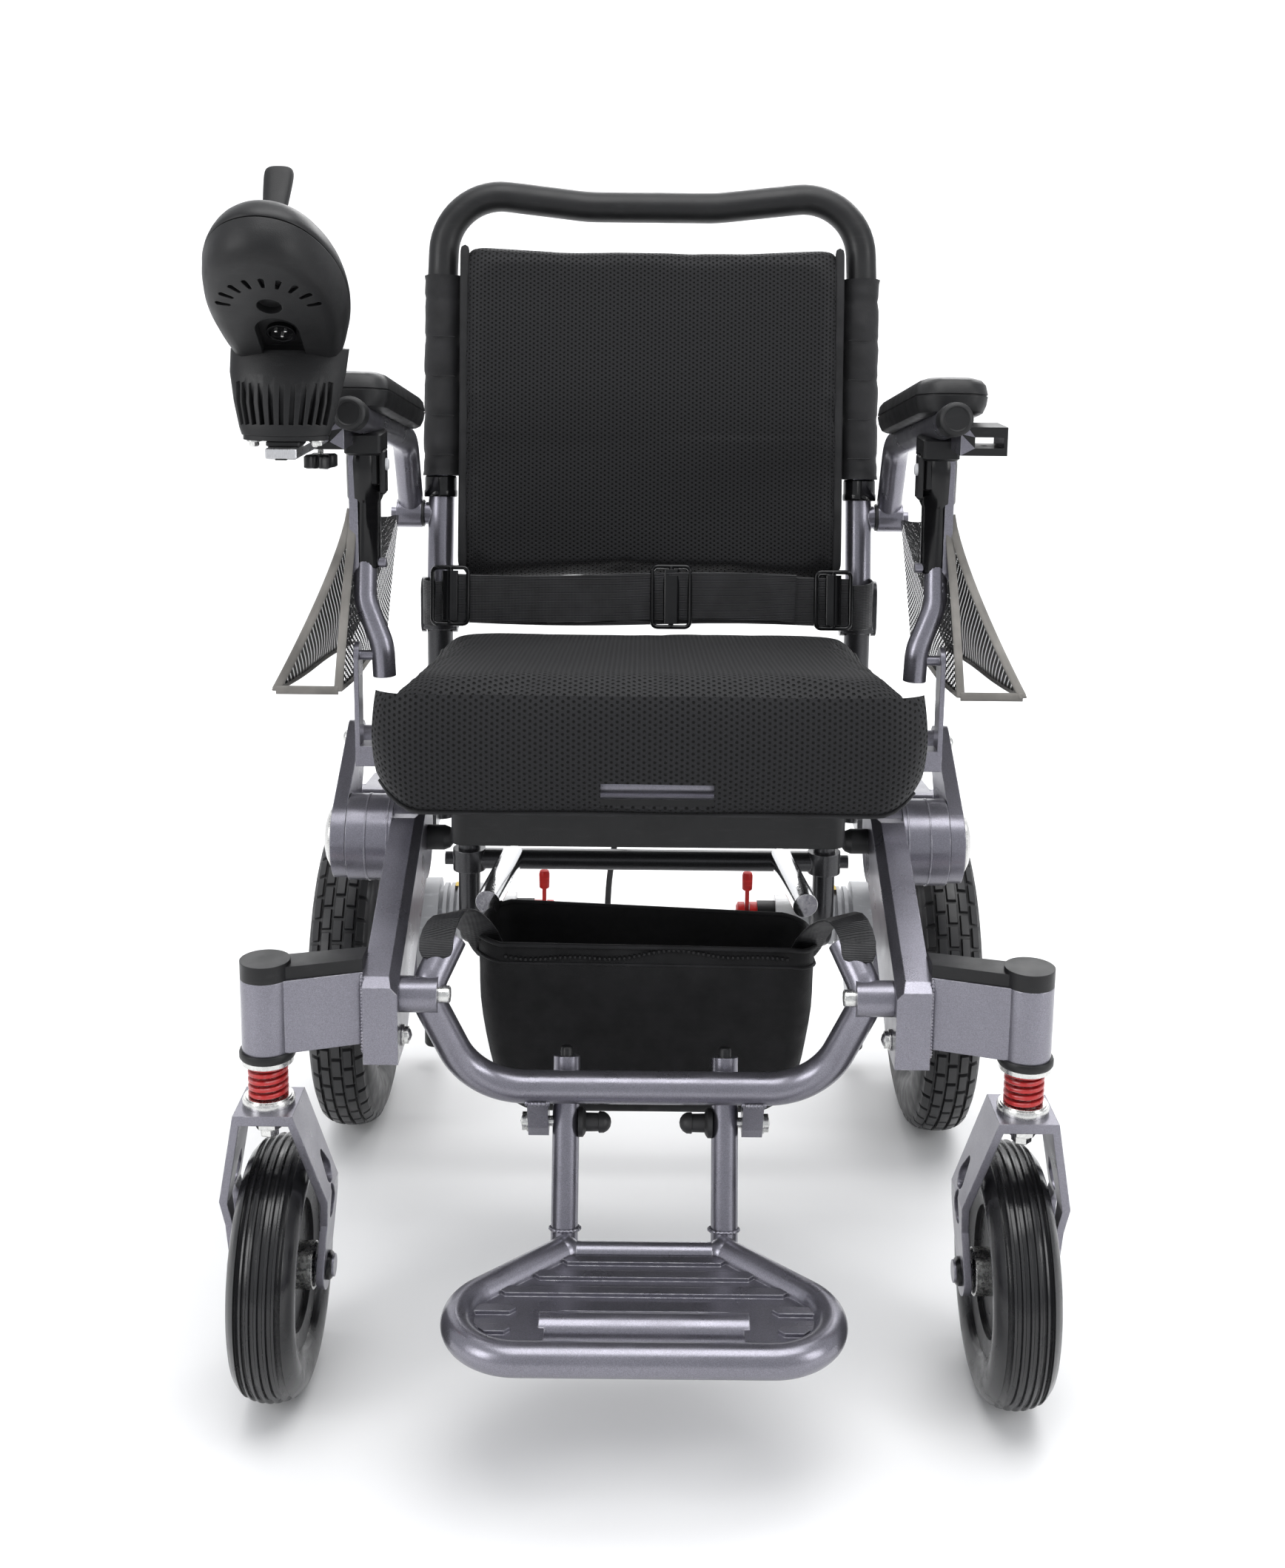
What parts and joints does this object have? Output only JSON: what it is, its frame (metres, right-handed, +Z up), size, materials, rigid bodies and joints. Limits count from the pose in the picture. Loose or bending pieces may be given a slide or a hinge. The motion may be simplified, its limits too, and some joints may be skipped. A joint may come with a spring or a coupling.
{
  "type": "power wheelchair",
  "caption": "Folding power wheelchair with sprung front casters, hub motors, flip-up footplate, padded seat, folding back and joystick controller.",
  "frame": {"origin": "on the floor under the middle of the chair's own box", "axes": "+Z up, the chair faces -Y, +X to the user's left"},
  "size_m": [0.642, 0.772, 0.9393],
  "materials": {
    "frame_paint": "fine metallic silver-grey paint, satin gloss",
    "dark_paint": "dark gunmetal paint, semi gloss",
    "zinc": "zinc-plated steel, brushed",
    "nickel": "satin nickel, brushed",
    "polished": "polished chrome",
    "black_plastic": "fine-grained black plastic",
    "gloss_black": "gloss black plastic",
    "red_spring": "red powder-coated spring steel",
    "red_plastic": "red moulded plastic",
    "motor_grey": "light grey cast aluminium",
    "white_plate": "white painted sheet",
    "rubber_black": "black rubber",
    "tyre_black": "black tyre rubber",
    "rim_black": "moulded black rim",
    "mesh_fabric": "black air mesh",
    "bag_fabric": "black woven nylon",
    "webbing": "black belt webbing",
    "battery": "black battery casing"
  },
  "bodies": {
    "rear_frame": {"rear_leg_left": "frame_paint", "rear_leg_right": "frame_paint", "gear_motor_left": "motor_grey", "gear_motor_right": "motor_grey", "anti_tip_feet": "rubber_black", "hub_pins": "nickel", "lower_posts": "dark_paint", "seat_frame": "frame_paint", "arch_tube": "dark_paint", "cross_tube": "dark_paint", "stay_bars": "polished", "bridge_plate": "white_plate", "battery_tray": "black_plastic", "battery_packs": "battery", "seat_cable": "rubber_black", "seat_cushion": "mesh_fabric"},
    "front_frame": {"front_leg_left": "frame_paint", "front_leg_right": "frame_paint", "caster_arm_left": "frame_paint", "caster_arm_right": "frame_paint", "caster_caps": "black_plastic", "caster_collars": "zinc", "footrest_tube": "frame_paint", "footrest_clamps": "frame_paint", "frame_bolts": "zinc", "frame_bumpers": "rubber_black", "storage_bag": "bag_fabric"},
    "footrest": {"footplate": "frame_paint", "footplate_legs": "frame_paint"},
    "backrest": {"back_tube": "frame_paint", "back_pad": "mesh_fabric", "lap_belt": "webbing"},
    "control_unit": {"controller_top": "black_plastic", "controller_bottom": "black_plastic"},
    "stick_cradle": {"stick_gimbal": "black_plastic"},
    "stick": {"joystick": "rubber_black"},
    "button": {"power_button": "gloss_black"},
    "knob": {"clamp_knob": "black_plastic"},
    "rear_wheel_left": {"rear_tyre_left": "tyre_black", "rear_rim_left": "rim_black"},
    "clutch_left": {"clutch_lever_left": "red_plastic"},
    "caster_slider_left": {"caster_stem_left": "zinc", "caster_spring_left": "red_spring"},
    "caster_swivel_left": {"caster_fork_left": "frame_paint"},
    "caster_wheel_left": {"caster_tyre_left": "tyre_black", "caster_rim_left": "rim_black"},
    "armrest_left": {"arm_frame_left": "frame_paint", "arm_pad_left": "black_plastic"},
    "support_left": {"arm_support_left": "frame_paint"},
    "rear_wheel_right": {"rear_tyre_right": "tyre_black", "rear_rim_right": "rim_black"},
    "clutch_right": {"clutch_lever_right": "red_plastic"},
    "caster_slider_right": {"caster_stem_right": "zinc", "caster_spring_right": "red_spring"},
    "caster_swivel_right": {"caster_fork_right": "frame_paint"},
    "caster_wheel_right": {"caster_tyre_right": "tyre_black", "caster_rim_right": "rim_black"},
    "armrest_right": {"arm_frame_right": "frame_paint", "arm_pad_right": "black_plastic"},
    "support_right": {"arm_support_right": "frame_paint"}
  },
  "joints": [
    {"name": "frame_fold", "type": "hinge", "parent": "rear_frame", "child": "front_frame", "pos_m": [0, -0.061, 0.389], "axis": [1, 0, 0], "range_deg": [0, 30]},
    {"name": "footplate_flip", "type": "hinge", "parent": "front_frame", "child": "footrest", "pos_m": [0, -0.194, 0.203], "axis": [-1, 0, 0], "range_deg": [0, 85]},
    {"name": "back_fold", "type": "hinge", "parent": "rear_frame", "child": "backrest", "pos_m": [0, 0.215, 0.548], "axis": [1, 0, 0], "range_deg": [0, 36]},
    {"name": "suspension_left", "type": "slide", "parent": "front_frame", "child": "caster_slider_left", "axis": [0, 0, 1], "range_m": [0, 0.012], "stiffness_N_per_m": 20000, "springref_m": -0.01, "deforming": ["caster_spring_left"]},
    {"name": "caster_turn_left", "type": "hinge", "parent": "caster_slider_left", "child": "caster_swivel_left", "pos_m": [0.28, -0.256, 0.248], "axis": [0, 0, 1], "continuous": true},
    {"name": "caster_roll_left", "type": "hinge", "parent": "caster_swivel_left", "child": "caster_wheel_left", "pos_m": [0.28, -0.226, 0.098], "axis": [1, 0, 0], "continuous": true},
    {"name": "rear_roll_left", "type": "hinge", "parent": "rear_frame", "child": "rear_wheel_left", "pos_m": [0.29, 0.227, 0.159], "axis": [1, 0, 0], "continuous": true},
    {"name": "clutch_turn_left", "type": "hinge", "parent": "rear_frame", "child": "clutch_left", "pos_m": [0.102, 0.214, 0.219], "axis": [1, 0, 0], "range_deg": [0, 40]},
    {"name": "armrest_level_left", "type": "hinge", "parent": "backrest", "child": "armrest_left", "pos_m": [0.23, 0.229, 0.622], "axis": [1, 0, 0], "range_deg": [-36, 0]},
    {"name": "support_swing_left", "type": "hinge", "parent": "armrest_left", "child": "support_left", "pos_m": [0.224, -0.062, 0.622], "axis": [1, 0, 0], "range_deg": [0, 36]},
    {"name": "suspension_right", "type": "slide", "parent": "front_frame", "child": "caster_slider_right", "axis": [0, 0, 1], "range_m": [0, 0.012], "stiffness_N_per_m": 20000, "springref_m": -0.01, "deforming": ["caster_spring_right"]},
    {"name": "caster_turn_right", "type": "hinge", "parent": "caster_slider_right", "child": "caster_swivel_right", "pos_m": [-0.28, -0.256, 0.248], "axis": [0, 0, 1], "continuous": true},
    {"name": "caster_roll_right", "type": "hinge", "parent": "caster_swivel_right", "child": "caster_wheel_right", "pos_m": [-0.28, -0.226, 0.098], "axis": [1, 0, 0], "continuous": true},
    {"name": "rear_roll_right", "type": "hinge", "parent": "rear_frame", "child": "rear_wheel_right", "pos_m": [-0.29, 0.227, 0.159], "axis": [1, 0, 0], "continuous": true},
    {"name": "clutch_turn_right", "type": "hinge", "parent": "rear_frame", "child": "clutch_right", "pos_m": [-0.102, 0.214, 0.219], "axis": [1, 0, 0], "range_deg": [0, 40]},
    {"name": "armrest_level_right", "type": "hinge", "parent": "backrest", "child": "armrest_right", "pos_m": [-0.23, 0.229, 0.622], "axis": [1, 0, 0], "range_deg": [-36, 0]},
    {"name": "support_swing_right", "type": "hinge", "parent": "armrest_right", "child": "support_right", "pos_m": [-0.224, -0.062, 0.622], "axis": [1, 0, 0], "range_deg": [0, 36]},
    {"name": "controller_slide", "type": "slide", "parent": "armrest_right", "child": "control_unit", "axis": [0, 1, 0], "range_m": [-0.03, 0.012]},
    {"name": "stick_fore_aft", "type": "hinge", "parent": "control_unit", "child": "stick_cradle", "pos_m": [-0.258, -0.27889, 0.87033], "axis": [1, 0, 0], "range_deg": [-18, 18], "stiffness_Nm_per_rad": 0.12},
    {"name": "stick_side", "type": "hinge", "parent": "stick_cradle", "child": "stick", "pos_m": [-0.258, -0.27889, 0.87033], "axis": [0, 0.809, -0.5878], "range_deg": [-18, 18], "stiffness_Nm_per_rad": 0.12},
    {"name": "power_press", "type": "slide", "parent": "control_unit", "child": "button", "axis": [0, -0.5878, -0.809], "range_m": [0, 0.0012], "stiffness_N_per_m": 400, "springref_m": -0.001},
    {"name": "knob_turn", "type": "hinge", "parent": "armrest_right", "child": "knob", "pos_m": [-0.258, -0.11, 0.72125], "axis": [0, 0, 1], "range_deg": [-170, 170]}
  ],
  "couplings": [
    {"joint": "armrest_level_left", "follows": "back_fold", "ratio": -1},
    {"joint": "support_swing_left", "follows": "back_fold", "ratio": 1},
    {"joint": "armrest_level_right", "follows": "back_fold", "ratio": -1},
    {"joint": "support_swing_right", "follows": "back_fold", "ratio": 1}
  ]
}
